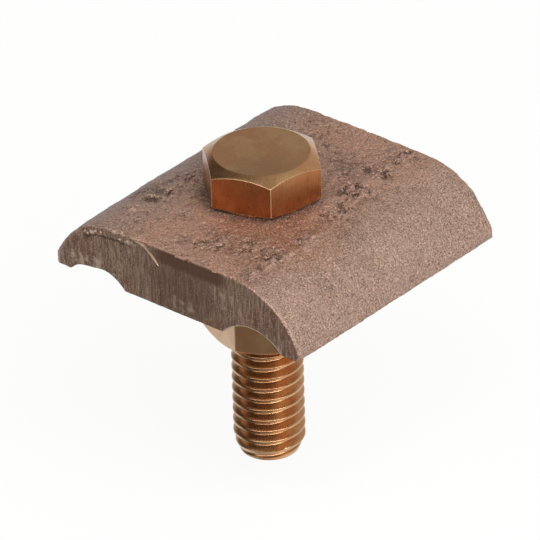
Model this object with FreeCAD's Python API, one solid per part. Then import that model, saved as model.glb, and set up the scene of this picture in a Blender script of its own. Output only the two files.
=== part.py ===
import FreeCAD, Part
import math
import os

from FreeCAD import Rotation, Vector

# Parallel ground clamp: a sand-cast saddle with two conductor grooves on its underside,
# pulled down by one hex bolt through its middle, with a split lock washer and a hex nut.
# Millimetres. Z runs up along the bolt, X across the two grooves and Y along the conductors.
# The origin is on the bolt's axis, in the plane of the casting's underside.

# Casting
CAST_LENGTH = 39.6          # along the conductors, between the two sawn ends
CAST_HEIGHT = 8.55          # from the underside to the flat under the bolt head
CAST_SHIFT_X = 1.0          # the hole was cored a little off the casting's middle
CAST_SHIFT_Y = 0.65
TOP_FLAT = 14.0             # width of the flat under the bolt head
CROWN_RADIUS = 60.0         # from the flat out to the shoulders
SHOULDER_RADIUS = 11.34     # from the crown down to the tips
TIP_RADIUS = 0.5            # rounding where the shoulders meet the underside
END_BEVEL = 0.5             # worn edge between the cast top and each sawn end

# Conductor grooves
GROOVE_SPACING = 25.8       # between the axes of the two conductors
GROOVE_RADIUS = 6.35
GROOVE_DEPTH = 2.15
GROOVE_EDGE_RADIUS = 0.5
LIP_WIDTH = 3.24            # flat outside each groove, before the tip is rounded

# Bolt
BOLT_LENGTH = 38.1          # under the head
THREAD_DIAMETER = 9.42      # over the thread's crests
BODY_DIAMETER = 9.5         # the short plain length under the head
BODY_LENGTH = 4.0
HOLE_CLEARANCE = 0.45       # between the bolt's body and the cast hole, on the radius
HOLE_EDGE = 0.5             # bevel at both mouths of the hole
TIP_DIAMETER = 7.7          # flat face at the bolt's tip
TIP_TAPER = 1.9             # length over which the thread narrows to it
HEAD_FLATS = 14.2           # across flats
HEAD_HEIGHT = 5.95
HEAD_FACE_DIAMETER = 12.6   # circle where the top chamfer begins
HEAD_TOP_SLOPE = 30.0       # degrees from the top face
HEAD_FOOT_SLOPE = 12.0      # degrees, under the corners
HEAD_TURN = 17.8            # degrees about Z, corner of the hexagon from +X
SEAT_DIAMETER = 13.6        # washer face under the head
SEAT_HEIGHT = 0.4

# Split lock washer
WASHER_THICKNESS = 2.4
WASHER_WALL = 3.5           # radial width of the ring's section
WASHER_CLEARANCE = 0.2      # between the bolt's body and the ring, on the radius
WASHER_SPREAD = 0.85        # how far apart the two ends of the coil still stand, along Z
WASHER_GAP = 0.9            # width of the split
WASHER_SPLIT_LEAN = 18.0    # degrees, slant of the split from Z
WASHER_TURN = 205.0         # degrees about Z, place of the split from +X
REST_GAP = 0.03             # between the washer and what it stands against

# Nut
NUT_FLATS = 14.2
NUT_HEIGHT = 8.35
NUT_FACE_DIAMETER = 13.9    # circle where each chamfer begins
NUT_CHAMFER_SLOPE = 30.0    # degrees from the end faces
NUT_MOUTH = 0.45            # countersink at both ends of the thread
NUT_TURN = 40.7             # degrees about Z, corner of the hexagon from +X
THREAD_CLEARANCE = 0.05     # between the nut's bore and the bolt's thread, on the radius

SAME_PLACE = 0.01           # two places this near count as one when edges are picked


def arc_through(start, end, center, radius):
    """Edge from start to end on the circle, by the shorter way round."""
    middle = (start + end) * 0.5 - center
    middle.normalize()
    return Part.Arc(start, center + middle * radius, end).toShape()


def hexagon(across_flats, turn):
    """Face of a regular hexagon in the XY plane, with one corner turned from +X."""
    corner_radius = across_flats / math.sqrt(3)
    corners = [Vector(corner_radius, 0, 0)]
    for step in range(1, 6):
        corners.append(Rotation(Vector(0, 0, 1), 60 * step).multVec(corners[0]))
    outline = Part.makePolygon(corners + corners[:1])
    outline.rotate(Vector(0, 0, 0), Vector(0, 0, 1), turn)
    return Part.Face(outline)


def turned(points):
    """Solid of revolution about Z from its half outline, given as radius and height."""
    outline = Part.makePolygon([Vector(r, 0, z) for r, z in points + points[:1]])
    return Part.Face(outline).revolve(Vector(0, 0, 0), Vector(0, 0, 1), 360)


def circle_crossing(center_a, radius_a, center_b, radius_b):
    """The upper of the two points in the XZ plane where two circles cross."""
    apart = center_b - center_a
    distance = apart.Length
    along = (distance ** 2 + radius_a ** 2 - radius_b ** 2) / (2 * distance)
    aside = math.sqrt(radius_a ** 2 - along ** 2)
    apart.normalize()
    across = Vector(-apart.z, 0, apart.x)
    points = [center_a + apart * along + across * side for side in (aside, -aside)]
    return max(points, key=lambda point: point.z)


def mirrored(edge):
    """The same edge on the other side of the casting's middle plane."""
    return edge.mirror(Vector(0, 0, 0), Vector(1, 0, 0))


def groove_half_width():
    """Half the width of a groove where it meets the underside."""
    return math.sqrt(2 * GROOVE_RADIUS * GROOVE_DEPTH - GROOVE_DEPTH ** 2)


def tip_x():
    """Distance of each tip from the casting's middle plane, before it is rounded."""
    return GROOVE_SPACING / 2 + groove_half_width() + LIP_WIDTH


def half_top(flat_end):
    """Top of the section from the flat's end to the tip: crown arc, then shoulder arc."""
    tip = Vector(tip_x(), 0, 0)
    crown_center = flat_end - Vector(0, 0, CROWN_RADIUS)
    shoulder_center = circle_crossing(crown_center, CROWN_RADIUS - SHOULDER_RADIUS,
                                      tip, SHOULDER_RADIUS)
    outward = shoulder_center - crown_center
    outward.normalize()
    joint = crown_center + outward * CROWN_RADIUS
    crown = arc_through(flat_end, joint, crown_center, CROWN_RADIUS)
    shoulder = arc_through(joint, tip, shoulder_center, SHOULDER_RADIUS)
    return [crown, shoulder]


def half_underside():
    """Underside of the section from the tip inwards: lip, groove arc and half the land."""
    tip = Vector(tip_x(), 0, 0)
    outer = Vector(GROOVE_SPACING / 2 + groove_half_width(), 0, 0)
    inner = Vector(GROOVE_SPACING / 2 - groove_half_width(), 0, 0)
    crest = Vector(GROOVE_SPACING / 2, 0, GROOVE_DEPTH)
    groove = Part.Arc(outer, crest, inner).toShape()
    return [Part.makeLine(tip, outer), groove, Part.makeLine(inner, Vector(0, 0, 0))]


def lengthwise_edges(solid, half_x, height):
    """Straight edges along Y that lie at this distance from the middle plane."""
    found = []
    for edge in solid.Edges:
        box = edge.BoundBox
        at_side = abs(abs(box.Center.x) - half_x) < SAME_PLACE
        at_height = abs(box.Center.z - height) < SAME_PLACE
        if at_side and at_height and box.YLength > CAST_LENGTH / 2:
            found.append(edge)
    return found


def end_edges(solid):
    """Edges of both sawn ends along the cast top, from one tip to the other."""
    found = []
    for edge in solid.Edges:
        box = edge.BoundBox
        at_end = abs(abs(box.Center.y) - CAST_LENGTH / 2) < SAME_PLACE
        if at_end and box.YLength < SAME_PLACE and box.ZMax > CAST_HEIGHT / 2:
            found.append(edge)
    return found


def clamp_casting():
    """Saddle: one section drawn along Y, its edges rounded, and the bolt's hole cored."""
    flat_end = Vector(TOP_FLAT / 2, 0, CAST_HEIGHT)
    flat_start = Vector(-TOP_FLAT / 2, 0, CAST_HEIGHT)
    half = half_top(flat_end) + half_underside()
    edges = half + [mirrored(edge) for edge in half] + [Part.makeLine(flat_start, flat_end)]
    section = Part.Face(Part.Wire(Part.__sortEdges__(edges)))
    section.translate(Vector(0, -CAST_LENGTH / 2, 0))
    body = section.extrude(Vector(0, CAST_LENGTH, 0))
    body = body.makeFillet(TIP_RADIUS, lengthwise_edges(body, tip_x(), 0))
    for side in (-1, 1):
        edge_x = GROOVE_SPACING / 2 + side * groove_half_width()
        body = body.makeFillet(GROOVE_EDGE_RADIUS, lengthwise_edges(body, edge_x, 0))
    body = body.makeChamfer(END_BEVEL, end_edges(body))
    body.translate(Vector(CAST_SHIFT_X, CAST_SHIFT_Y, 0))
    hole_radius = BODY_DIAMETER / 2 + HOLE_CLEARANCE
    mouth_radius = hole_radius + HOLE_EDGE
    hole = turned([(0, 0), (mouth_radius, 0), (hole_radius, HOLE_EDGE),
                   (hole_radius, CAST_HEIGHT - HOLE_EDGE), (mouth_radius, CAST_HEIGHT),
                   (0, CAST_HEIGHT)])
    return body.cut(hole)


def chamfer_cone(face_radius, slope, face_z, height, downward):
    """Solid that trims a hexagon's corners: full inside the cone that starts at face_z."""
    reach = 4 * face_radius     # well past every corner
    side = -1 if downward else 1
    edge_z = face_z + side * (reach - face_radius) * math.tan(math.radians(slope))
    far_z = edge_z + side * height
    return turned([(0, face_z), (face_radius, face_z), (reach, edge_z), (reach, far_z), (0, far_z)])


def hex_bolt():
    """Bolt: washer face, hexagon with trimmed corners, plain body, thread and tapered tip."""
    seat_z = CAST_HEIGHT
    tip_z = seat_z - BOLT_LENGTH
    blank = hexagon(HEAD_FLATS, HEAD_TURN).extrude(Vector(0, 0, HEAD_HEIGHT - SEAT_HEIGHT))
    blank.translate(Vector(0, 0, seat_z + SEAT_HEIGHT))
    top = chamfer_cone(HEAD_FACE_DIAMETER / 2, HEAD_TOP_SLOPE, seat_z + HEAD_HEIGHT,
                       HEAD_HEIGHT, True)
    foot = chamfer_cone(SEAT_DIAMETER / 2, HEAD_FOOT_SLOPE, seat_z + SEAT_HEIGHT,
                        HEAD_HEIGHT, False)
    head = blank.common(top).common(foot)
    seat = Part.makeCylinder(SEAT_DIAMETER / 2, SEAT_HEIGHT, Vector(0, 0, seat_z))
    body_radius = BODY_DIAMETER / 2
    thread_radius = THREAD_DIAMETER / 2
    body_z = seat_z - BODY_LENGTH
    shank = turned([(0, seat_z + SEAT_HEIGHT), (body_radius, seat_z + SEAT_HEIGHT),
                    (body_radius, body_z), (thread_radius, body_z - (body_radius - thread_radius)),
                    (thread_radius, tip_z + TIP_TAPER), (TIP_DIAMETER / 2, tip_z), (0, tip_z)])
    return head.fuse([seat, shank]).removeSplitter()


def washer_top():
    """Height of the ring's upper face where it stands against the casting."""
    return -REST_GAP


def nut_top():
    """Height of the nut's upper face, just under the lower end of the coil."""
    return washer_top() - WASHER_THICKNESS - WASHER_SPREAD - REST_GAP


def split_lock_washer():
    """One left-hand turn of a flat-sided coil, its two slanted ends standing apart."""
    inner = BODY_DIAMETER / 2 + WASHER_CLEARANCE
    outer = inner + WASHER_WALL
    middle = (inner + outer) / 2
    turns = 1 - WASHER_GAP / (2 * math.pi * middle)
    left_handed = True
    path = Part.makeHelix(WASHER_SPREAD / turns, WASHER_SPREAD, middle, 0, left_handed)
    half = WASHER_THICKNESS / 2
    lean = half * math.tan(math.radians(WASHER_SPLIT_LEAN))
    section = Part.makePolygon([Vector(inner, -lean, -half), Vector(outer, -lean, -half),
                                Vector(outer, lean, half), Vector(inner, lean, half),
                                Vector(inner, -lean, -half)])
    sweep = Part.BRepOffsetAPI.MakePipeShell(Part.Wire(path.Edges))
    sweep.setFrenetMode(True)
    sweep.add(section)
    sweep.build()
    sweep.makeSolid()
    ring = sweep.shape()
    ring.rotate(Vector(0, 0, 0), Vector(0, 0, 1), WASHER_TURN)
    ring.translate(Vector(0, 0, washer_top() - WASHER_SPREAD - half))
    return ring


def hex_nut():
    """Nut: hexagon with both ends' corners trimmed and a countersunk bore."""
    bottom_z = nut_top() - NUT_HEIGHT
    blank = hexagon(NUT_FLATS, NUT_TURN).extrude(Vector(0, 0, NUT_HEIGHT))
    blank.translate(Vector(0, 0, bottom_z))
    for face_z, downward in ((nut_top(), True), (bottom_z, False)):
        blank = blank.common(chamfer_cone(NUT_FACE_DIAMETER / 2, NUT_CHAMFER_SLOPE,
                                          face_z, NUT_HEIGHT, downward))
    bore_radius = THREAD_DIAMETER / 2 + THREAD_CLEARANCE
    mouth_radius = bore_radius + NUT_MOUTH
    bore = turned([(0, bottom_z), (mouth_radius, bottom_z), (bore_radius, bottom_z + NUT_MOUTH),
                   (bore_radius, nut_top() - NUT_MOUTH), (mouth_radius, nut_top()),
                   (0, nut_top())])
    return blank.cut(bore)


PARTS = {
    "clamp_casting": clamp_casting,
    "hex_bolt": hex_bolt,
    "split_lock_washer": split_lock_washer,
    "hex_nut": hex_nut,
}

os.makedirs("parts", exist_ok=True)
for name, make in PARTS.items():
    shape = make()
    if shape.ShapeType != "Solid":
        shape = shape.Solids[0]
    box = shape.BoundBox
    print(name, "valid", shape.isValid(), "solids", len(shape.Solids), "mm3", round(shape.Volume, 1),
          "x", round(box.XMin, 2), round(box.XMax, 2), "y", round(box.YMin, 2), round(box.YMax, 2),
          "z", round(box.ZMin, 2), round(box.ZMax, 2))
    shape.exportStep("parts/" + name + ".step")
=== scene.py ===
import math

import bpy
import numpy as np
from bpy.props import FloatProperty, FloatVectorProperty, PointerProperty
from mathutils import Matrix, Vector
from mathutils.kdtree import KDTree


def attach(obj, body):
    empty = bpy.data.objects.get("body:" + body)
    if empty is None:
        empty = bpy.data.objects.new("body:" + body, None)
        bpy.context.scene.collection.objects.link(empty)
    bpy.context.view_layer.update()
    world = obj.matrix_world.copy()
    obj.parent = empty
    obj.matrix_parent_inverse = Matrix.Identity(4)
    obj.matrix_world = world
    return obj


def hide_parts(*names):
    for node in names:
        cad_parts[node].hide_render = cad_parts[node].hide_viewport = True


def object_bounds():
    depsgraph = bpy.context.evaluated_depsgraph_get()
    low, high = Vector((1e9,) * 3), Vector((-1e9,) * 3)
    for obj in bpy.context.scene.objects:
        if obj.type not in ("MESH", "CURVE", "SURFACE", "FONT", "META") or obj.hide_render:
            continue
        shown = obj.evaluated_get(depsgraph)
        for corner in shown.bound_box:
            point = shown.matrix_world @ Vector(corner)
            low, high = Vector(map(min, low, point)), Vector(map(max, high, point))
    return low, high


bl_info = {
    "name": "Parallel ground clamp",
    "version": (1, 0, 0),
    "blender": (4, 5, 0),
    "location": "View3D > Sidebar > Ground clamp",
    "description": "Sand-cast bronze saddle clamp with its hex bolt, split lock washer and nut",
    "category": "Object",
}

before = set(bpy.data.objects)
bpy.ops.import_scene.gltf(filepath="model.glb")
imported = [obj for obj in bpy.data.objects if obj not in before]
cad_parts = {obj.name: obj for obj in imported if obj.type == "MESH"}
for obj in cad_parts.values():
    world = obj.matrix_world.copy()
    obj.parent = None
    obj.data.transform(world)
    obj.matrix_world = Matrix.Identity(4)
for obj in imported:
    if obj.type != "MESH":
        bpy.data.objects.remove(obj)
CAD_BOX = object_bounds()

MM = 0.001
SAME = 1e-6                 # places closer than this are the same
DOUBLED = 1e-7              # vertices closer than this are merged
HEAD_TURN = 17.8            # degrees, corner of the bolt head from +X
NUT_TURN = 40.7             # degrees, corner of the nut from +X
WASHER_TURN = 205.0         # degrees, place of the split from +X
SPLIT_LEAN = 18.0           # degrees, lean of the washer's two ends
THREAD_STEPS = 96           # round one turn of the thread
ROUND_STEPS = 144           # round the turned faces of the head and the nut
UNDER_HEAD = 7.2 * MM       # reach of the flat that the head stands on
# Rough places of the cast top: x, y and reach in millimetres, and how rough
ROUGH_PATCHES = (
    (-11.3, -7.6, 4.2, 1.0), (-9.9, -2.0, 3.0, 1.0), (-11.0, -13.0, 1.5, 0.8), (-12.5, 5.0, 2.5, 0.6),
    (3.0, -14.2, 2.6, 0.9), (7.2, -12.0, 2.8, 0.8), (11.3, -11.5, 2.8, 1.0), (12.2, -6.2, 2.8, 0.8),
    (10.2, 2.0, 3.2, 1.0), (9.4, 7.4, 3.2, 1.0), (8.6, 13.0, 3.2, 1.0), (9.0, 17.6, 2.8, 0.9))
# Corners knocked off the tips: end (-1 front, 1 back), side (-1 left, 1 right) and radius in millimetres
BLUNT_TIPS = ((-1, -1, 1.5), (-1, 1, 0.7), (1, 1, 1.1))
# The long burr that the saw turned over on the front end: x, z and radius in millimetres along it
CURLED_BURR = ((-5.1, 8.2, 0.1), (-4.4, 8.15, 0.24), (-3.7, 7.95, 0.3), (-3.1, 7.55, 0.32),
               (-2.6, 7.1, 0.3), (-2.1, 6.65, 0.24), (-1.7, 6.25, 0.16), (-1.35, 5.9, 0.06))
# Soft lamps: name, azimuth, height, distance, size and power
LAMPS = (("key", 62, 42, 0.9, 0.7, 8.0), ("fill", 10, 39, 0.9, 0.9, 4.5))
PRIMES = np.array((73856093, 19349663, 83492791))    # mix the cells' numbers in noise()
AIM = (0.95 * MM, 10.06 * MM)    # from the head's seat to the picture's middle, right and down
# What the metal mirrors: a dark room on the left, a soft wall and table on the right, a pale sweep low behind
ROOM = (0.06, 0.05, 0.04, 1)
WALL = (0.58, 0.56, 0.52, 1)
TABLE = (1.05, 1.03, 0.97, 1)
SWEEP = (0.86, 0.97, 1.08, 1)
WHITE = (1, 1, 1, 1)


def linear(code):
    """A colour written as sRGB hex, as the linear values that shaders take."""
    channels = [int(code[i:i + 2], 16) / 255 for i in (1, 3, 5)]
    return (*(c / 12.92 if c <= 0.04045 else ((c + 0.055) / 1.055) ** 2.4 for c in channels), 1)


def length(name, millimetres, description):
    """A size in the panel, shown in the scene's units."""
    return FloatProperty(name=name, description=description, default=millimetres * MM,
                         subtype="DISTANCE", unit="LENGTH", precision=5)


def colour(name, code, description):
    """A colour in the panel."""
    return FloatVectorProperty(name=name, description=description, default=linear(code),
                               subtype="COLOR", size=4, min=0, max=1)


class CastingSettings(bpy.types.PropertyGroup):
    """Sizes and colours of the sand-cast saddle."""
    length: length("Length", 39.6, "Along the conductors, between the two sawn ends")
    height: length("Height", 8.55, "From the underside to the flat under the bolt head")
    shift_x: length("Shift across", 1.0, "The casting's middle from the bolt's axis, across the grooves")
    shift_y: length("Shift along", 0.65, "The casting's middle from the bolt's axis, along the grooves")
    flat: length("Top flat", 14.0, "Width of the flat under the bolt head")
    crown: length("Crown radius", 60.0, "From the flat out to the shoulders")
    shoulder: length("Shoulder radius", 11.34, "From the crown down to the tips")
    tip: length("Tip radius", 0.5, "Rounding where the shoulders meet the underside")
    groove_spacing: length("Groove spacing", 25.8, "Between the axes of the two conductors")
    groove: length("Groove radius", 6.35, "Radius of each conductor groove")
    groove_depth: length("Groove depth", 2.15, "From the underside to the groove's crest")
    groove_edge: length("Groove edge radius", 0.5, "Rounding along both edges of a groove")
    lip: length("Lip width", 3.24, "Flat outside each groove, before the tip is rounded")
    bore: length("Bore radius", 5.2, "Cored hole for the bolt")
    bore_edge: length("Bore bevel", 0.5, "Bevel at both mouths of the hole")
    worn: length("Worn edge", 0.5, "Rounding that wear left between the cast top and each sawn end")
    burr: length("Burr", 0.1, "How far burrs stand out from the sawn ends")
    spacing: length("Mesh spacing", 0.222, "Size of the mesh that carries the sand's grain")
    skin: colour("Cast skin", "#B38973", "Oxidised skin of the sand casting, before its stains")
    sawn: colour("Sawn end", "#937560", "Face that the saw left, before its stains")


class FastenerSettings(bpy.types.PropertyGroup):
    """Sizes and colours of the bolt, the lock washer and the nut."""
    pitch: length("Pitch", 1.5875, "Thread pitch, 16 to the inch")
    crest: length("Crest radius", 4.7, "Over the thread's crests")
    root: length("Root radius", 3.736, "At the bottom of the thread")
    body: length("Body radius", 4.75, "Plain part under the head")
    body_length: length("Body length", 4.0, "Plain length under the head")
    bolt_length: length("Bolt length", 38.1, "From under the head to the tip")
    tip: length("Tip radius", 3.85, "Flat face at the bolt's tip")
    taper: length("Tip taper", 1.9, "Length over which the thread narrows to the tip")
    flats: length("Across flats", 14.2, "Head and nut, for a 9/16 inch spanner")
    head_height: length("Head height", 5.95, "With the washer face under it")
    head_face: length("Head face radius", 6.3, "Circle where the top chamfer begins")
    seat: length("Washer face radius", 6.8, "Turned face under the head")
    seat_height: length("Washer face height", 0.4, "Height of the turned face")
    nut_height: length("Nut height", 8.35, "Between the nut's two faces")
    nut_face: length("Nut face radius", 6.95, "Circle where each chamfer begins")
    ring_thickness: length("Washer thickness", 2.4, "Section of the lock washer, along the bolt")
    ring_inner: length("Washer inner radius", 4.95, "Inside of the lock washer")
    ring_wall: length("Washer wall", 3.5, "Section of the lock washer, across")
    ring_spread: length("Washer spread", 0.85, "How far apart the coil's two ends stand")
    ring_gap: length("Washer gap", 0.9, "Width of the split")
    rest_gap: length("Rest gap", 0.03, "Between the washer and what it stands against")
    bolt_tone: colour("Bolt bronze", "#DDB386", "Silicon bronze of the bolt")
    nut_tone: colour("Nut bronze", "#DDB78F", "Silicon bronze of the nut")
    washer_tone: colour("Washer bronze", "#D9B48E", "Silicon bronze of the lock washer")


class StageSettings(bpy.types.PropertyGroup):
    """Camera, lamps and floor."""
    azimuth: FloatProperty(name="Azimuth", description="Camera angle round the clamp",
                           default=math.radians(40.67), subtype="ANGLE", unit="ROTATION")
    elevation: FloatProperty(name="Elevation", description="Camera angle above the floor",
                             default=math.radians(30.59), subtype="ANGLE", unit="ROTATION")
    roll: FloatProperty(name="Roll", description="Camera turn about its own axis",
                        default=math.radians(-1.64), subtype="ANGLE", unit="ROTATION")
    distance: length("Distance", 1100.0, "From the camera to the clamp")
    lens: FloatProperty(name="Lens", description="Focal length for a 36 mm sensor",
                        default=573.4, subtype="DISTANCE_CAMERA")
    floor: colour("Floor", "#F4F3F1", "Pale paper sweep")


# Small helpers for edit mode


def only(obj):
    """Leaves this object as the only one that is selected, and active."""
    if bpy.context.object and bpy.context.object.mode != "OBJECT":
        bpy.ops.object.mode_set(mode="OBJECT")
    bpy.ops.object.select_all(action="DESELECT")
    obj.select_set(True)
    bpy.context.view_layer.objects.active = obj


def started(name):
    """Names the primitive that was just added, and moves its place into its mesh."""
    obj = bpy.context.object
    obj.name = name
    obj.data.name = name
    bpy.ops.object.transform_apply(location=True, rotation=True, scale=True)
    return obj


def read(items, what, width, kind=np.float32):
    """Values of the mesh's vertices, edges or faces, one row each."""
    values = np.empty(len(items) * width, kind)
    items.foreach_get(what, values)
    return values.reshape(-1, width)


def corners(obj):
    """Places of the vertices."""
    return read(obj.data.vertices, "co", 3).astype(float)


def put(obj, places):
    """Writes the places of the vertices."""
    obj.data.vertices.foreach_set("co", places.astype(np.float32).ravel())
    obj.data.update()


def edge_ends(obj):
    """The two vertices of each edge."""
    return read(obj.data.edges, "vertices", 2, np.int32)


def edge_spans(obj):
    """Places of the two ends of each edge."""
    return corners(obj)[edge_ends(obj)]


def pick(obj, kind, chosen):
    """Enters edit mode with only these vertices, edges or faces selected."""
    only(obj)
    kinds = ("vertices", "edges", "polygons")
    for part in kinds:
        items = getattr(obj.data, part)
        items.foreach_set("select", np.zeros(len(items), bool))
    items = getattr(obj.data, kind)
    items.foreach_set("select", np.asarray(chosen, bool))
    bpy.context.tool_settings.mesh_select_mode = [part == kind for part in kinds]
    bpy.ops.object.mode_set(mode="EDIT")


def leave():
    """Goes back to object mode."""
    bpy.ops.object.mode_set(mode="OBJECT")


def draw_out(move):
    """Extrudes what is selected by this much."""
    bpy.ops.mesh.extrude_region_move(TRANSFORM_OT_translate={"value": move})


def modify(obj, kind, **settings):
    """Adds a modifier with these settings and applies it."""
    only(obj)
    modifier = obj.modifiers.new(kind.title(), kind)
    for key, value in settings.items():
        setattr(modifier, key, value)
    bpy.ops.object.modifier_apply(modifier=modifier.name)


def bevel(obj, width, segments, angle):
    """Rounds the edges that turn by more than this angle in degrees."""
    modify(obj, "BEVEL", width=width, segments=segments, limit_method="ANGLE",
           angle_limit=math.radians(angle), use_clamp_overlap=True)


def cut(obj, tool, operation):
    """Joins, cuts or trims the piece with another solid, which is then removed."""
    modify(obj, "BOOLEAN", object=tool, operation=operation, solver="EXACT")
    bpy.data.objects.remove(tool)
    if not obj.data.polygons:
        raise RuntimeError(f"{obj.name} lost its faces in a {operation.lower()}")


def outward(obj):
    """Merges doubled vertices and turns every face outwards."""
    pick(obj, "polygons", np.ones(len(obj.data.polygons)))
    bpy.ops.mesh.remove_doubles(threshold=DOUBLED)
    bpy.ops.mesh.select_all(action="SELECT")
    bpy.ops.mesh.normals_make_consistent(inside=False)
    leave()
    return obj


def noise(points, cell, seed, octaves=1):
    """Smooth random values from -1 to 1 at these points, with bumps about one cell across, in millimetres."""
    total = np.zeros(len(points))
    reach = 0.0
    for octave in range(octaves):
        share = 0.5 ** octave
        at = points / (cell * MM * share) + 17.3 * (seed + octave)
        base = np.floor(at).astype(np.int64)
        part = at - base
        ease = part * part * part * (part * (part * 6 - 15) + 10)
        value = np.zeros(len(points))
        for corner in range(2 ** points.shape[1]):
            step = np.array([(corner >> axis) & 1 for axis in range(points.shape[1])])
            mixed = np.bitwise_xor.reduce((base + step) * PRIMES[:points.shape[1]], axis=1)
            mixed = (mixed + seed * 2654435) & 0xFFFFFFFF
            mixed = ((mixed ^ (mixed >> 15)) * 2246822519) & 0xFFFFFFFF
            mixed = ((mixed ^ (mixed >> 13)) * 3266489917) & 0xFFFFFFFF
            mixed = mixed ^ (mixed >> 16)
            weight = np.prod(np.where(step, ease, 1 - ease), axis=1)
            value += weight * (mixed / 0x7FFFFFFF - 1)
        total += share * value
        reach += share
    return total / reach


def rise(values, low, high):
    """Eases from 0 at low to 1 at high, both in millimetres."""
    low, high = low * MM, high * MM
    t = np.clip((values - low) / (high - low), 0, 1)
    return t * t * (3 - 2 * t)


def hump(values, width):
    """1 at nought, fading out either way over this many millimetres."""
    return np.exp(-(values / (width * MM)) ** 2)


def write_attribute(obj, name, values, domain="POINT"):
    """Keeps one number for each vertex or face, for the materials."""
    layer = obj.data.attributes.new(name, "FLOAT", domain)
    layer.data.foreach_set("value", np.asarray(values, np.float32))


# Casting


class Section:
    """Outline of the casting's section, from its middle plane to one tip."""

    def __init__(self, s):
        self.s = s
        self.half = math.sqrt(2 * s.groove * s.groove_depth - s.groove_depth ** 2)
        self.tip_x = s.groove_spacing / 2 + self.half + s.lip
        self.crown = Vector((s.flat / 2, 0, s.height - s.crown))
        tip = Vector((self.tip_x, 0, 0))
        apart = tip - self.crown
        reach = s.crown - s.shoulder
        along = (apart.length_squared + reach ** 2 - s.shoulder ** 2) / (2 * apart.length)
        aside = math.sqrt(reach ** 2 - along ** 2)
        apart.normalize()
        across = Vector((-apart.z, 0, apart.x))
        options = [self.crown + apart * along + across * side for side in (aside, -aside)]
        self.shoulder = max(options, key=lambda place: place.z)
        self.joint = self.crown + (self.shoulder - self.crown).normalized() * s.crown
        run = math.sqrt((s.shoulder - s.tip) ** 2 - (s.tip - self.shoulder.z) ** 2)
        self.tip = Vector((self.shoulder.x + run, 0, s.tip))
        self.tip_joint = self.shoulder + (self.tip - self.shoulder).normalized() * s.shoulder
        self.groove = Vector((s.groove_spacing / 2, 0, s.groove_depth - s.groove))
        step = s.groove + s.groove_edge
        run = math.sqrt(step ** 2 - (s.groove_edge - self.groove.z) ** 2)
        self.outer_edge = self.groove + Vector((run, 0, s.groove_edge - self.groove.z))
        self.inner_edge = self.groove + Vector((-run, 0, s.groove_edge - self.groove.z))

    def top(self, x):
        """Height of the cast top at this distance from the middle plane."""
        u = np.abs(x)
        crown = np.sqrt(np.maximum(self.s.crown ** 2 - (u - self.crown.x) ** 2, 0)) + self.crown.z
        drop = np.maximum(self.s.shoulder ** 2 - (u - self.shoulder.x) ** 2, 0)
        shoulder = np.sqrt(drop) + self.shoulder.z
        return np.where(u < self.s.flat / 2, self.s.height, np.where(u < self.joint.x, crown, shoulder))


def pick_rim(obj, at, side):
    """Enters edit mode with the sheet's long edge at this place of the section selected."""
    spans = edge_spans(obj)
    near = (np.abs(spans[:, :, 0] - side * at.x) < SAME) & (np.abs(spans[:, :, 2] - at.z) < SAME)
    pick(obj, "edges", near.all(axis=1))


def sweep_edge(obj, at, side, center, end, spacing):
    """Spins the sheet's free long edge about an axis along Y, to the place where the arc ends."""
    pick_rim(obj, at, side)
    middle = Vector((side * center.x, 0, center.z))
    a = Vector((side * at.x, 0, at.z)) - middle
    b = Vector((side * end.x, 0, end.z)) - middle
    angle = math.atan2(a.z * b.x - a.x * b.z, a.x * b.x + a.z * b.z)
    steps = max(2, round(abs(angle) * a.length / spacing))
    bpy.ops.mesh.spin(steps=steps, angle=-angle, center=middle, axis=(0, 1, 0))
    leave()


def extrude_edge(obj, at, side, goal):
    """Draws the sheet's free long edge out straight to the goal."""
    pick_rim(obj, at, side)
    draw_out((side * (goal.x - at.x), 0, goal.z - at.z))
    leave()


def build_sheet(s, section):
    """The casting's skin as a tube along Y: a flat sheet whose long edges are spun round."""
    span = section.tip_joint
    bpy.ops.mesh.primitive_plane_add(size=1, location=(0, 0, s.height))
    sheet = started("clamp_casting_skin")
    places = corners(sheet)
    places[:, 0] *= s.flat
    places[:, 1] *= s.length
    put(sheet, places)
    flat_end = Vector((s.flat / 2, 0, s.height))
    outer_flat = Vector((section.outer_edge.x, 0, 0))
    outer_arc = section.groove + (section.outer_edge - section.groove).normalized() * s.groove
    inner_arc = section.groove + (section.inner_edge - section.groove).normalized() * s.groove
    inner_flat = Vector((section.inner_edge.x, 0, 0))
    tip_flat = Vector((section.tip.x, 0, 0))
    crest = Vector((section.groove.x, 0, s.groove_depth))
    under = s.spacing * 0.9     # a little finer, so that the underside has no fewer faces than the top
    for side in (1, -1):
        sweep_edge(sheet, flat_end, side, section.crown, section.joint, s.spacing)
        sweep_edge(sheet, section.joint, side, section.shoulder, span, s.spacing)
        sweep_edge(sheet, span, side, section.tip, tip_flat, s.spacing)
        extrude_edge(sheet, tip_flat, side, outer_flat)
        sweep_edge(sheet, outer_flat, side, section.outer_edge, outer_arc, under)
        sweep_edge(sheet, outer_arc, side, section.groove, crest, under)
        sweep_edge(sheet, crest, side, section.groove, inner_arc, under)
        sweep_edge(sheet, inner_arc, side, section.inner_edge, inner_flat, under)
    extrude_edge(sheet, inner_flat, 1, Vector((-inner_flat.x, 0, 0)))
    return outward(sheet)


def divide(obj, chosen, cuts):
    """Cuts these edges into equal parts, and the faces between them into strips."""
    if cuts > 0:
        pick(obj, "edges", chosen)
        bpy.ops.mesh.subdivide(number_cuts=cuts)
        leave()


def flat_edges(obj, height, longer):
    """Edges across the casting at this height that are longer than this."""
    spans = edge_spans(obj)
    level = (np.abs(spans[:, :, 2] - height) < SAME).all(axis=1)
    return level & (np.abs(spans[:, 1, 0] - spans[:, 0, 0]) > longer)


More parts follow.
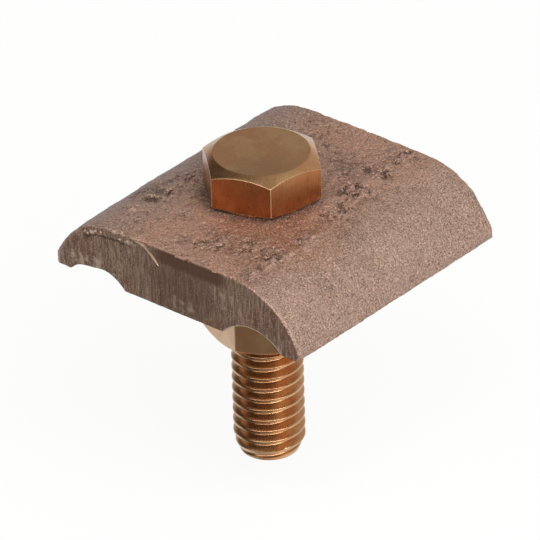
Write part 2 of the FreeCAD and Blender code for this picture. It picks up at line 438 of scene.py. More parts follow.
def long_edges(obj, longer, beyond=0):
    """Edges along Y that are longer than this and reach beyond this distance from the middle."""
    spans = edge_spans(obj)
    return (np.abs(spans[:, 1, 1] - spans[:, 0, 1]) > longer) & (np.abs(spans[:, :, 1]).max(axis=1) > beyond)


def upright_edges(obj, s):
    """Edges inside the end faces that run up and down, away from the casting's skin."""
    spans = edge_spans(obj)
    at_end = (np.abs(np.abs(spans[:, :, 1]) - s.length / 2) < SAME).all(axis=1)
    return at_end & (np.abs(spans[:, 1, 2] - spans[:, 0, 2]) > 0.6 * MM)


def end_chains(obj, section, y):
    """The top and underside chains of edges at one end, as two masks."""
    places = corners(obj)
    ends = edge_ends(obj)
    top = section.top(places[:, 0])
    at_end = np.abs(places[:, 1] - y) < SAME
    above = (np.abs(places[:, 2] - top) < 2 * SAME) & (places[:, 2] > section.tip_joint.z - SAME)
    below = (places[:, 2] < top * 0.6) & (np.abs(places[:, 0]) < section.tip.x + SAME)
    return (at_end & above)[ends].all(axis=1), (at_end & below)[ends].all(axis=1)


def refine_burrs(obj, section, s):
    """Finer faces on the front end where its burrs stand."""
    centres = read(obj.data.polygons, "center", 3)
    x = centres[:, 0] + s.shift_x
    below = section.top(centres[:, 0]) - centres[:, 2]
    band = (x > -14.5 * MM) & (x < -1 * MM) & (below < 1.9 * MM)
    pick(obj, "polygons", (centres[:, 1] < -s.length / 2 + 0.01 * MM) & band)
    bpy.ops.mesh.subdivide(number_cuts=2)
    leave()


def section_normals(obj, s):
    """Outward directions of the skin in the section's plane, one row for each vertex."""
    places = corners(obj)
    normals = read(obj.data.vertices, "normal", 3).astype(float)
    ring = np.nonzero(np.abs(places[:, 1]) < s.spacing * 0.6)[0]
    tree = KDTree(len(ring))
    for at, place in zip(ring, places[ring]):
        tree.insert((place[0], 0, place[2]), at)
    tree.balance()
    found = []
    for place in places:
        near, at, gap = tree.find((place[0], 0, place[2]))
        if gap > 1e-5:
            raise RuntimeError("the rings of the casting differ")
        found.append(at)
    flat = normals[found] * (1, 0, 1)
    return flat / np.linalg.norm(flat, axis=1)[:, None]


def wear(obj, section, s):
    """Rounds the edges of the sawn ends, unevenly where the skin broke, with a burr in the left groove."""
    places = corners(obj)
    outward_way = section_normals(obj, s)
    from_end = s.length / 2 - np.abs(places[:, 1])
    front = places[:, 1] < 0
    x = places[:, 0] + s.shift_x
    upper = rise(section.top(places[:, 0]) - places[:, 2], 0.05, 0.01)
    other_end = np.where(front, 0.0, 0.05)
    along = np.stack([places[:, 0], places[:, 2] + other_end], axis=1)
    ragged = 0.16 * noise(along, 1.6, 31) + 0.12 * noise(along, 0.5, 32)
    # The skin broke off along the left half of the front, and a little all along the back
    broken = np.where(front, rise(x, -13.5, -12.5) * (1 - rise(x, -3.5, -2.5)), 0.3)
    aside = np.abs(places[:, 0])
    top_reach = s.worn * (0.75 + 0.5 * broken + ragged * (1 + 3 * broken))
    top_reach += np.where(front, 0.2, 0.25) * MM * rise(aside, 16, 19.5)
    low_reach = 0.05 * MM + 0.03 * ragged * MM
    reach = upper * top_reach + (1 - upper) * low_reach
    part = np.clip(1 - from_end / reach, 0, 1)
    round_off = reach * (1 - np.sqrt(1 - part ** 2))
    places -= outward_way * round_off[:, None]
    hanging = 0.45 * MM * hump(x + 12.8 * MM, 1.9) * front * (1 - upper)
    places[:, 2] -= hanging * rise(from_end, 1.2, 0.1)
    put(obj, places)


def round_tips(obj, section, s):
    """Knocks off the corners of the tips at both ends, most at the front left."""
    places = corners(obj)
    from_end = s.length / 2 - np.abs(places[:, 1])
    front = places[:, 1] < 0
    x = places[:, 0]
    for end, side, radius in BLUNT_TIPS:
        radius *= MM
        where = (np.sign(places[:, 1]) == end) & (np.sign(x) == side)
        past = np.abs(x) - (section.tip.x + s.tip - radius)
        beyond = radius - from_end
        apart = np.hypot(past, beyond)
        outside = where & (past > 0) & (beyond > 0) & (apart > radius)
        pull = np.where(outside, 1 - radius / np.maximum(apart, radius), 0)
        places[:, 0] -= np.sign(x) * past * pull
        places[:, 1] -= np.sign(places[:, 1]) * beyond * pull
    # The front left tip is worn shorter and thinner
    near_end = rise(from_end, 4, 0.5) * front
    worn_tip = near_end * (x < 0)
    low = rise(places[:, 2], 2.5, 1)
    places[:, 2] += 0.25 * MM * worn_tip * rise(np.abs(x), 15.5, 18) * low
    places[:, 0] += 0.5 * MM * worn_tip * rise(np.abs(x), 14.5, 19)
    # Both front tips are rounder below than the rest of the casting
    rounding = 1.0 * MM
    past = np.abs(places[:, 0]) - (section.tip_x - 1.1 * MM)
    under = rounding - places[:, 2]
    apart = np.hypot(past, under)
    outside = (past > 0) & (under > 0) & (apart > rounding)
    pull = np.where(outside, near_end * (1 - rounding / np.maximum(apart, rounding)), 0)
    places[:, 0] -= np.sign(places[:, 0]) * past * pull
    places[:, 2] += under * pull
    put(obj, places)


def settle(obj, section, s):
    """Gives the skin the sand's relief and the ends the marks of the saw."""
    smooth = corners(obj)
    from_end = s.length / 2 - np.abs(smooth[:, 1])
    x = smooth[:, 0] + s.shift_x
    y = smooth[:, 1] + s.shift_y
    top = section.top(smooth[:, 0])
    on_end = from_end < 0.01 * MM
    below_top = top - smooth[:, 2]
    on_top = rise(below_top, 0.7, 0.3) * ~on_end
    patch = np.zeros(len(smooth))
    for px, py, reach, strength in ROUGH_PATCHES:
        apart = np.hypot(x - px * MM, y - py * MM)
        patch = np.maximum(patch, strength * (1 - rise(apart, 0.3 * reach, reach)))
    patch *= on_top * np.clip(0.75 + 0.8 * noise(smooth, 1.5, 3), 0, 1)
    group(obj, "skin", rise(from_end, 0.02, 0.5) * (0.35 + 0.65 * on_top))
    roughen(obj, 6.0, 0.26, "skin", 0)
    roughen(obj, 1.5, 0.20, "skin", 1)
    middle = rise(np.abs(smooth[:, 0]), 14, 9)
    group(obj, "flat", rise(from_end, 0.02, 0.5) * (0.4 + 0.6 * middle))
    roughen(obj, 0.55, 0.32, "flat", 1)
    rough = corners(obj)
    plan = np.stack([x, y], axis=1)
    # Rough places: wrinkles with pits between them, and a ridge and a lump of their own
    wrinkles = 1 - np.abs(noise(plan * (1.0, 0.6), 0.9, 5, 2)) * 2.6
    pits = np.clip(noise(plan, 0.75, 6, 2) - 0.05, 0, 1) * 2.2
    line_x = 12.4 * MM + 0.6 * MM * noise(plan[:, 1:], 2.2, 8, 2)
    ridge = hump(x - line_x, 0.28) * rise(y, -17.5, -16)
    ridge *= rise(y, -2, -4)
    ridge *= on_top * np.clip(0.7 + noise(plan, 1.1, 9), 0, 1)
    bump = hump(np.hypot(x + 10.6 * MM, y + 12.9 * MM), 0.8) * on_top
    lift = patch * (0.42 * np.clip(wrinkles, 0, 1) - 0.45 * pits) + 0.26 * ridge + 0.35 * bump
    slope = np.clip(np.abs(smooth[:, 0]) - section.joint.x, 0, None) / s.shoulder
    rough[:, 2] += lift * MM * np.sqrt(np.clip(1 - slope ** 2, 0, 1))
    rough[:, 0] += lift * MM * slope * np.sign(smooth[:, 0])
    saw_marks(obj, rough, smooth, on_end, below_top, x, s)
    write_attribute(obj, "patch", patch)
    write_attribute(obj, "relief", lift + np.where(on_end, 0, (rough[:, 2] - smooth[:, 2]) / MM))


def saw_marks(obj, rough, smooth, on_end, below_top, x, s):
    """Upright saw lines on both ends, the burrs that stand on them and the flat under the head."""
    side = np.sign(smooth[:, 1])
    front = side < 0
    across = np.stack([smooth[:, 0], smooth[:, 2] * 0.05 + 0.03 * side], axis=1)
    lines = noise(across, 0.42, 21, 2)
    waves = noise(smooth[:, (0, 2)], 3.5, 22)
    grained = noise(smooth[:, (0, 2)], 0.6, 23, 2)
    # Right of the middle the saw left the metal smooth under the top edge, a band that is also painted dark
    # as painted shade; on the left it tore crumbs out
    smeared = rise(below_top, 2.6, 1.5) * rise(x, -3, -0.5) * rise(x, 11, 8) * front
    left = rise(x, -4, -8) * front
    sunk = s.burr * (1.1 + 0.35 * waves + (1 - smeared) * (0.3 * lines + (0.2 + 0.3 * left) * grained))
    crumbs = np.clip(0.15 + noise(smooth[:, (0, 2)], 0.45, 25, 2) * 2.4, 0, 1)
    torn = left * rise(x, -14.5, -13)
    band = hump(below_top - 0.85 * MM, 0.3) * torn
    gap = hump(below_top - 1.35 * MM - 0.2 * MM * crumbs, 0.16) * torn
    depth = sunk * (1 - np.clip(band * crumbs * 1.2, 0, 1)) + 0.6 * s.burr * gap
    rough[:, 1] = np.where(on_end, smooth[:, 1] - side * np.clip(depth, 0, None), rough[:, 1])
    edge_share = np.where(on_end, 0, rise(s.length / 2 - np.abs(smooth[:, 1]), 0.5, 0.05))
    rough[:, 1] -= side * edge_share * 0.8 * s.burr
    # Crumbs count up and the gap beneath them down; the gap is painted dark as painted shade
    burr = np.clip(band * crumbs, 0, 1) - gap * 0.8
    write_attribute(obj, "burr", np.where(on_end, burr, 0))
    write_attribute(obj, "smeared", np.where(on_end, smeared, 0))
    # Nothing stands out past the casting's sizes, nor into the head's seat
    half_width = np.abs(smooth[:, 0]).max()
    rough[:, 0] = np.clip(rough[:, 0], -half_width, half_width)
    rough[:, 1] = np.clip(rough[:, 1], -s.length / 2, s.length / 2)
    rough[:, 2] = np.maximum(rough[:, 2], 0)
    under_head = np.hypot(x, smooth[:, 1] + s.shift_y) < UNDER_HEAD
    rough[:, 2] = np.where(under_head & (below_top < 1 * MM), np.minimum(rough[:, 2], s.height), rough[:, 2])
    put(obj, rough)


def group(obj, name, weights):
    """A vertex group with these weights, in a hundred steps."""
    made = obj.vertex_groups.new(name=name)
    steps = np.round(np.clip(weights, 0, 1) * 100).astype(int)
    for step in np.unique(steps):
        if step > 0:
            made.add(np.nonzero(steps == step)[0].tolist(), step / 100, "REPLACE")


def roughen(obj, cell, height, mask, octaves):
    """Waves of about this size and height in millimetres along the skin's normals, half of them inwards."""
    pattern = bpy.data.textures.new(f"sand_{cell:g}", "CLOUDS")
    pattern.noise_scale = cell * MM
    pattern.noise_depth = octaves
    modify(obj, "DISPLACE", texture=pattern, texture_coords="LOCAL", direction="NORMAL",
           strength=height * MM, mid_level=0.55, vertex_group=mask)


def bore(s, low, high):
    """The cored hole as a solid to cut with, flared at both mouths."""
    bpy.ops.mesh.primitive_cylinder_add(vertices=96, radius=s.bore, depth=high - low - 2 * s.bore_edge,
                                        location=(0, 0, (low + high) / 2))
    hole = started("bore")
    flare = (s.bore + s.bore_edge) / s.bore
    for side in (1, -1):
        pick(hole, "polygons", read(hole.data.polygons, "normal", 3)[:, 2] * side > 0.9)
        draw_out((0, 0, side * s.bore_edge))
        bpy.ops.transform.resize(value=(flare, flare, 1), center_override=(0, 0, 0))
        draw_out((0, 0, side * MM))
        leave()
    return hole


def curled_burr(s):
    """The long burr on the front end, drawn out ring by ring."""
    y = s.shift_y - s.length / 2 + 0.02 * MM
    x, z, radius = CURLED_BURR[0]
    bpy.ops.mesh.primitive_circle_add(vertices=10, radius=radius * MM, fill_type="NGON",
                                      location=(x * MM, y + radius * MM, z * MM),
                                      rotation=(0, math.radians(120), 0))
    burr = started("curled_burr")
    pick(burr, "polygons", [True])
    for before, (x, z, radius) in zip(CURLED_BURR, CURLED_BURR[1:]):
        draw_out(((x - before[0]) * MM, (radius - before[2]) * MM, (z - before[1]) * MM))
        grown = radius / before[2]
        middle = (x * MM, y + radius * MM, z * MM)
        bpy.ops.transform.resize(value=(grown, grown, grown), center_override=middle)
    leave()
    return outward(burr)


def even_out(skin, section, s):
    """Divides the skin into small, nearly square faces, as many round the top as round the underside."""
    land = 2 * section.inner_edge.x
    divide(skin, flat_edges(skin, s.height, s.flat / 2), 2 * round(s.flat / s.spacing / 2) - 1)
    lips = flat_edges(skin, 0, 2 * s.spacing) & ~flat_edges(skin, 0, land / 2)
    divide(skin, lips, round((section.tip.x - section.outer_edge.x) / s.spacing) - 1)
    top, bottom = end_chains(skin, section, -s.length / 2)
    land_parts = 1 + int(top.sum()) - int(bottom.sum())
    divide(skin, flat_edges(skin, 0, land / 2), 1)
    divide(skin, flat_edges(skin, 0, land / 4), land_parts // 2 - 1)
    parts = round(math.sqrt(s.length / s.spacing))
    divide(skin, long_edges(skin, s.length / 2), parts - 1)
    divide(skin, long_edges(skin, s.length / parts / 2), parts - 1)
    divide(skin, long_edges(skin, SAME, s.length / 2 - 3.5 * s.spacing), 1)


def close_end(skin, top, bottom):
    """Fills one end between its top and underside chains of edges."""
    if top.sum() != bottom.sum():
        raise RuntimeError(f"the end's chains differ: {top.sum()} and {bottom.sum()}")
    chosen = np.zeros(len(skin.data.edges), bool)
    chosen[:len(top)] = top | bottom
    outline = len(skin.data.vertices)
    pick(skin, "edges", chosen)
    bpy.ops.mesh.fill_grid(use_interp_simple=True)
    leave()
    # The rows that it adds run straight from tip to tip, across the grooves, so they are evened out
    pick(skin, "vertices", np.arange(len(skin.data.vertices)) >= outline)
    bpy.ops.mesh.vertices_smooth(factor=0.5, repeat=30)
    leave()


def add_curled_burr(skin, s):
    """Joins the curled burr to the front end and gives its faces the sawn finish."""
    cut(skin, curled_burr(s), "UNION")
    x, y, z = read(skin.data.polygons, "center", 3).T / MM
    front = (s.shift_y - s.length / 2) / MM
    on_burr = (y < front + 0.4) & (abs(x + 3.2) < 2.1) & (z > 5.7) & (z < 8.3)
    sawn = read(skin.data.polygons, "material_index", 1, np.int32)[:, 0].astype(int) | on_burr
    skin.data.polygons.foreach_set("material_index", sawn)


def finish_piece(obj, name, body, node, materials):
    """Names the piece, gives it its materials and sets it on its body."""
    obj.name = name
    obj.data.name = name
    for material in materials:
        obj.data.materials.append(material)
    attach(obj, body)
    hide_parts(node)


class CLAMP_OT_casting(bpy.types.Operator):
    """Build the sand-cast saddle with its two conductor grooves"""
    bl_idname = "ground_clamp.casting"
    bl_label = "Casting"

    def execute(self, context):
        s = context.scene.clamp_casting
        section = Section(s)
        skin = build_sheet(s, section)
        even_out(skin, section, s)
        chains = [end_chains(skin, section, y) for y in (-s.length / 2, s.length / 2)]
        wear(skin, section, s)
        for top, bottom in chains:
            close_end(skin, top, bottom)
        divide(skin, upright_edges(skin, s), 7)
        refine_burrs(skin, section, s)
        round_tips(skin, section, s)
        outward(skin)
        ends = np.abs(read(skin.data.polygons, "normal", 3)[:, 1]) > 0.9
        settle(skin, section, s)
        skin.data.polygons.foreach_set("material_index", ends.astype(np.int32))
        put(skin, corners(skin) + np.array((s.shift_x, s.shift_y, 0)))
        add_curled_burr(skin, s)
        cut(skin, bore(s, 0, s.height), "DIFFERENCE")
        only(skin)
        bpy.ops.object.shade_smooth_by_angle(angle=math.radians(55))
        finish_piece(skin, "casting", "casting", "clamp_casting", [cast_skin(s), sawn_end(s)])
        return {"FINISHED"}


# Fasteners


def draw_chain(name, points):
    """An open chain of edges through these points, drawn by extruding one vertex."""
    bpy.ops.mesh.primitive_plane_add(size=MM, location=points[0])
    chain = started(name)
    pick(chain, "vertices", [False, True, True, True])
    bpy.ops.mesh.delete(type="VERT")
    leave()
    put(chain, np.array([points[0]]))
    pick(chain, "vertices", [True])
    for start, end in zip(points, points[1:]):
        draw_out([b - a for a, b in zip(start, end)])
    leave()
    return chain


def thread_form(s, grow):
    """One pitch of the thread from root to root, as radius and height, with a narrow rolled crest."""
    root = s.root + grow
    crest = s.crest + grow
    depth = s.crest - s.root
    half = s.pitch / 2
    crest_flat = s.pitch / 11
    foot = crest_flat + depth * math.tan(math.radians(30))
    # Distance from the crest's middle, and share of the thread's depth
    shares = ((half, 0.0), (foot + 0.04 * MM, 0.02), (foot - 0.05 * MM, 0.09),
              (0.66 * foot + 0.34 * crest_flat, 0.36),
              (0.33 * foot + 0.67 * crest_flat, 0.68), (crest_flat + 0.04 * MM, 0.95), (crest_flat, 0.985),
              (crest_flat * 0.5, 1.0))
    lower = [(root + share * (crest - root), half - away) for away, share in shares]
    upper = [(radius, s.pitch - height) for radius, height in reversed(lower)]
    return lower + upper


def threaded_rod(name, s, low, high, grow, inside, outside):
    """Solid screw thread between two heights, its radius kept between two outlines."""
    turns = math.ceil((high - low) / s.pitch) + 3
    start = math.floor(low / s.pitch - 1) * s.pitch - s.pitch
    form = thread_form(s, grow)
    rod = draw_chain(name, [(radius, 0, start + height) for radius, height in form])
    modify(rod, "SCREW", axis="Z", angle=2 * math.pi, screw_offset=s.pitch, iterations=turns,
           steps=THREAD_STEPS, render_steps=THREAD_STEPS, use_normal_calculate=True)
    pick(rod, "polygons", np.ones(len(rod.data.polygons)))
    bpy.ops.mesh.remove_doubles(threshold=DOUBLED)
    leave()
    places = corners(rod)
    radius = np.hypot(places[:, 0], places[:, 1])
    kept = np.clip(radius, inside(places[:, 2]), outside(places[:, 2]))
    places[:, :2] *= (kept / radius)[:, None]
    put(rod, places)
    for height, side in ((high, 1), (low, -1)):
        pick(rod, "polygons", np.ones(len(rod.data.polygons)))
        bpy.ops.mesh.bisect(plane_co=(0, 0, height), plane_no=(0, 0, side), use_fill=True, clear_outer=True,
                            threshold=1e-8)
        leave()
    return outward(rod)


def trimmed_hexagon(name, flats, turn, low, high, low_face, high_face, low_slope, high_slope):
    """Hexagon whose corners are turned off by a cone at each end."""
    corner = flats / math.sqrt(3)
    first_corner = math.radians(30)
    bpy.ops.mesh.primitive_cylinder_add(vertices=6, radius=corner, depth=high - low,
                                        location=(0, 0, (low + high) / 2),
                                        rotation=(0, 0, math.radians(turn) - first_corner))
    blank = started(name)
    reach = corner + 0.5 * MM
    ends = ((1, high, high_face, high - (reach - high_face) * math.tan(math.radians(high_slope))),
            (-1, low, low_face, low + (reach - low_face) * math.tan(math.radians(low_slope))))
    bpy.ops.mesh.primitive_cylinder_add(vertices=ROUND_STEPS, radius=reach, depth=ends[0][3] - ends[1][3],
                                        location=(0, 0, (ends[0][3] + ends[1][3]) / 2))
    cone = started("cone")
    for side, face, radius, shoulder in ends:
        pick(cone, "polygons", read(cone.data.polygons, "normal", 3)[:, 2] * side > 0.9)
        draw_out((0, 0, face - shoulder))
        bpy.ops.transform.resize(value=(radius / reach, radius / reach, 1), center_override=(0, 0, 0))
        leave()
    cut(blank, cone, "INTERSECT")
    return outward(blank)


def shade(obj):
    """Smooth shading that leaves flats flat and keeps true corners."""
    only(obj)
    bpy.ops.object.shade_smooth_by_angle(angle=math.radians(48))
    modify(obj, "WEIGHTED_NORMAL", keep_sharp=True, weight=60)


class CLAMP_OT_bolt(bpy.types.Operator):
    """Build the hex bolt with its rolled thread"""
    bl_idname = "ground_clamp.bolt"
    bl_label = "Hex bolt"

    def execute(self, context):
        s = context.scene.clamp_fasteners
        seat = context.scene.clamp_casting.height
        tip = seat - s.bolt_length
        body = seat - s.body_length
        runout = 1.3 * s.pitch

        def inside(z):
            """Least radius: the plain body, then a run-out down to the thread's full depth."""
            fading = np.clip((z - body + runout) / runout, 0, 1)
            return np.where(z > body, s.body, s.root + (s.crest - s.root) * fading)

        def outside(z):
            """Greatest radius: over the crests, and less towards the tip."""
            return np.where(z > body, s.body, s.tip + (s.crest - s.tip) * np.clip((z - tip) / s.taper, 0, 1))

        shank = threaded_rod("shank", s, tip, seat + 0.5 * MM, 0.0, inside, outside)
        head = trimmed_hexagon("hex_bolt_head", s.flats, HEAD_TURN, seat + s.seat_height,
                               seat + s.head_height, s.seat, s.head_face, 12, 30)
        bpy.ops.mesh.primitive_cylinder_add(vertices=ROUND_STEPS, radius=s.seat - 0.01 * MM,
                                            depth=2 * s.seat_height, location=(0, 0, seat + s.seat_height))
        washer_face = started("washer_face")
        bevel(washer_face, 0.06 * MM, 2, 40)
        bevel(head, 0.16 * MM, 3, 17)
        cut(head, washer_face, "UNION")
        cut(head, shank, "UNION")
        shade(head)
        normal = read(head.data.polygons, "normal", 3)
        upright = np.abs(normal[:, 2]) < 0.3
        wide = read(head.data.polygons, "area", 1)[:, 0] > 5 * MM ** 2
        # The flat facing most nearly forward is painted most red: a painted reflection of the casting
        casting_reflection_face = normal[:, 0] * math.sin(math.radians(12)) - normal[:, 1] * math.cos(math.radians(12)) > 0.9
        write_attribute(head, "rolled", (upright & wide) * np.where(casting_reflection_face, 1.0, 0.8), "FACE")
        # Narrow upright faces at the head's corners: worn matte, and painted pale as a painted sheen
        above = read(head.data.polygons, "center", 3)[:, 2] > seat + s.seat_height
        write_attribute(head, "rubbed", upright & ~wide & above, "FACE")
        # Forged and rolled: long fine marks, and flats left more red than the top, whose front has a painted
        # shade
        bronze = satin_bronze("rolled_silicon_bronze_bolt", s.bolt_tone, 0.28, 2.0 * MM)
        finish_piece(head, "bolt", "bolt", "hex_bolt", [bronze])
        return {"FINISHED"}


class CLAMP_OT_lock_washer(bpy.types.Operator):
    """Build the split lock washer as one turn of a coil"""
    bl_idname = "ground_clamp.lock_washer"
    bl_label = "Lock washer"

    def execute(self, context):
        s = context.scene.clamp_fasteners
        middle = s.ring_inner + s.ring_wall / 2
        turns = 1 - s.ring_gap / (2 * math.pi * middle)
        top = -s.rest_gap - s.ring_thickness / 2
        bpy.ops.mesh.primitive_plane_add(size=1, location=(middle, 0, 0), rotation=(math.radians(90), 0, 0))
        ring = started("split_ring")
        places = corners(ring)
        places[:, 0] = middle + (places[:, 0] - middle) * s.ring_wall
        places[:, 2] *= s.ring_thickness
        put(ring, places)
        pick(ring, "vertices", np.ones(4))
        bpy.ops.mesh.bevel(offset=0.28 * MM, segments=4, affect="VERTICES")
        leave()
        places = corners(ring)
        places[:, 1] += places[:, 2] * math.tan(math.radians(SPLIT_LEAN))
        places[:, 2] += top
        put(ring, places)
        modify(ring, "SCREW", axis="Z", angle=2 * math.pi * turns, screw_offset=-s.ring_spread, iterations=1,
               steps=96, render_steps=96, use_normal_calculate=True)
        pick(ring, "edges", np.zeros(len(ring.data.edges)))
        bpy.ops.mesh.select_non_manifold()
        bpy.ops.mesh.fill_holes(sides=0)
        leave()
        places = corners(ring)
        turn = math.radians(WASHER_TURN - 360 * turns)
        put(ring, places @ np.array(Matrix.Rotation(-turn, 3, "Z")))
        outward(ring)
        bevel(ring, 0.05 * MM, 1, 50)
        shade(ring)
        # Wound from drawn wire: even fine marks, a little duller
        bronze = satin_bronze("drawn_silicon_bronze_washer", s.washer_tone, 0.34, 0.25 * MM)
        finish_piece(ring, "lock_washer", "washer", "split_lock_washer", [bronze])
        return {"FINISHED"}


class CLAMP_OT_nut(bpy.types.Operator):
    """Build the hex nut with its cut thread"""
    bl_idname = "ground_clamp.nut"
    bl_label = "Hex nut"

    def execute(self, context):
        s = context.scene.clamp_fasteners
        top = -s.rest_gap - s.ring_thickness - s.ring_spread - s.rest_gap
        low = top - s.nut_height
        grow = 0.06 * MM        # play between the nut's thread and the bolt's
        mouth = 0.45 * MM       # how far the countersinks open past the crests

        def inside(z):
            """Least radius of the tap: it opens into a countersink at each face."""
            edge = np.minimum(np.abs(top - z), np.abs(z - low))
            beyond = (z > top) | (z < low)
            opening = np.where(beyond, 1, np.clip(1 - edge / (1.4 * MM), 0, 1))
            return s.root + grow + opening * (s.crest - s.root + mouth)

        def outside(z):
            """Greatest radius of the tap: no limit."""
            return np.full(len(z), 1.0)

        nut = trimmed_hexagon("hex_nut_blank", s.flats, NUT_TURN, low, top, s.nut_face, s.nut_face, 30, 30)
        tap = threaded_rod("tap", s, low - MM, top + MM, grow, inside, outside)
        bevel(nut, 0.14 * MM, 3, 17)
        cut(nut, tap, "DIFFERENCE")
        shade(nut)
        # Narrow upright faces at the nut's corners: worn matte, and painted pale as a painted sheen
        outer = np.hypot(*read(nut.data.polygons, "center", 3)[:, :2].T) > s.flats / 2 + 0.5 * MM
        small = read(nut.data.polygons, "area", 1)[:, 0] < 5 * MM ** 2
        upright = np.abs(read(nut.data.polygons, "normal", 3)[:, 2]) < 0.2
        write_attribute(nut, "rubbed", outer & small & upright, "FACE")
        # Machined from bar: the palest of the three, with marks along the bar
        bronze = satin_bronze("machined_silicon_bronze_nut", s.nut_tone, 0.3, 3.0 * MM)
        finish_piece(nut, "nut", "nut", "hex_nut", [bronze])
        return {"FINISHED"}


# Materials


def add(tree, kind, inputs=None, **settings):
    """Adds a node with its settings, and links or sets its inputs."""
    node = tree.nodes.new(kind)
    for key, value in settings.items():
        setattr(node, key, value)
    for key, value in (inputs or {}).items():
        if isinstance(value, bpy.types.NodeSocket):
            tree.links.new(value, node.inputs[key])
        else:
            node.inputs[key].default_value = value
    return node


def emptied(holder):
    """The node tree of a new material or world, with nothing in it."""
    holder.use_nodes = True
    holder.node_tree.nodes.clear()
    return holder.node_tree


def coats(tree, tone, *layers):
    """Lays colours over the first: each where its mask runs from one value to another, up to its share."""
    for mask, start, full, share, code in layers:
        amount = {"Value": mask, "From Min": start, "From Max": full, "To Max": share}
        amount = add(tree, "ShaderNodeMapRange", amount).outputs["Result"]
        coat = {0: amount, 6: tone, 7: linear(code)}
        tone = add(tree, "ShaderNodeMix", coat, data_type="RGBA").outputs[2]
    return tone


def distance(tree, place, axes, centre):
    """How far each place is from a centre in millimetres, counted along these axes only."""
    kept = add(tree, "ShaderNodeMapping", {"Vector": place, "Scale": axes}).outputs["Vector"]
    centre = tuple(value * MM for value in centre)
    return add(tree, "ShaderNodeVectorMath", {0: kept, 1: centre}, operation="DISTANCE").outputs["Value"]


def started_metal(name):
    """A new material, its node tree and the object's own coordinates."""
    material = bpy.data.materials.new(name)
    tree = emptied(material)
    return material, tree, add(tree, "ShaderNodeTexCoord").outputs["Object"]


def finish_metal(tree, tone, metallic, roughness, normal):
    """Ends the material in a metal shader, with its default IOR."""
    shader = add(tree, "ShaderNodeBsdfPrincipled", {"Base Color": tone, "Metallic": metallic,
                                                    "Roughness": roughness, "Normal": normal})
    add(tree, "ShaderNodeOutputMaterial", {"Surface": shader.outputs["BSDF"]})


def cast_skin(s):
    """Bronze as it left the sand mould: brown oxide, dull, speckled pale and dark by the sand.

    The sand's grains are 0.1 to 0.3 mm. The picture shows nothing finer than 0.13 mm, which is one pixel.
    """
    material, tree, place = started_metal("sand_cast_bronze_skin")
    wide, patch, pitted, grain, dust = (
        add(tree, "ShaderNodeTexNoise", {
            "Vector": place, "Scale": 1 / (size * MM), "Detail": detail}).outputs[0]
        for size, detail in ((8.0, 1.0), (1.8, 2.0), (0.45, 2.0), (0.26, 2.0), (0.13, 1.0)))
    rough_place, relief = (add(tree, "ShaderNodeAttribute", attribute_name=name).outputs["Fac"]
                           for name in ("patch", "relief"))
    pits = add(tree, "ShaderNodeMapRange", {"Value": pitted, "From Min": 0.60, "From Max": 0.42}).outputs[0]
    holes = add(tree, "ShaderNodeMath", {0: pits, 1: rough_place}, operation="MULTIPLY").outputs[0]
    head_red_reflection = distance(tree, place, (1, 1, 1), (8, -7, 8))
    aside = distance(tree, place, (1, 0, 0), (3, 0, 0))
    head_foot_shade = distance(tree, place, (1, 1, 0), (0, 0, 0))
    tone = coats(
        tree, s.skin,
        (wide, 0.4, 0.62, 1.0, "#AE8571"),
        (aside, 7 * MM, 13 * MM, 1.0, "#9B7E70"),           # greyer lobes
        (head_red_reflection, 10 * MM, 3 * MM, 1.0, "#9B684C"),     # painted reflection of the head's red flats
        (patch, 0.4, 0.65, 0.35, "#A58B7C"),
        (rough_place, 0.1, 0.9, 0.25, "#6C5144"),
        # The pits painted dark: painted shade in them
        (holes, 0.1, 0.9, 0.42, "#4C352B"),
        (head_foot_shade, 9.3 * MM, 7.4 * MM, 0.6, "#46322A"),    # painted shade round the head's foot
        # Raised sand painted paler and its hollows darker: painted light and shade of the relief
        (relief, 0.02, 0.2, 0.45, "#B99888"),
        (relief, -0.04, -0.25, 0.75, "#48332A"),
        (grain, 0.54, 0.68, 0.6, "#CFAE9A"),
        (grain, 0.45, 0.31, 0.7, "#4A352D"),
        (dust, 0.60, 0.70, 0.6, "#E2CBBC"))
    bump = {}
    for height, rise_mm, strength in ((grain, 0.10, 0.8), (holes, -0.2, 1.0), (dust, 0.05, 0.6)):
        bump.update({"Height": height, "Distance": rise_mm * MM, "Strength": strength})
        bump["Normal"] = add(tree, "ShaderNodeBump", bump).outputs["Normal"]
    finish_metal(tree, tone, 0.6, 0.6, bump["Normal"])
    return material


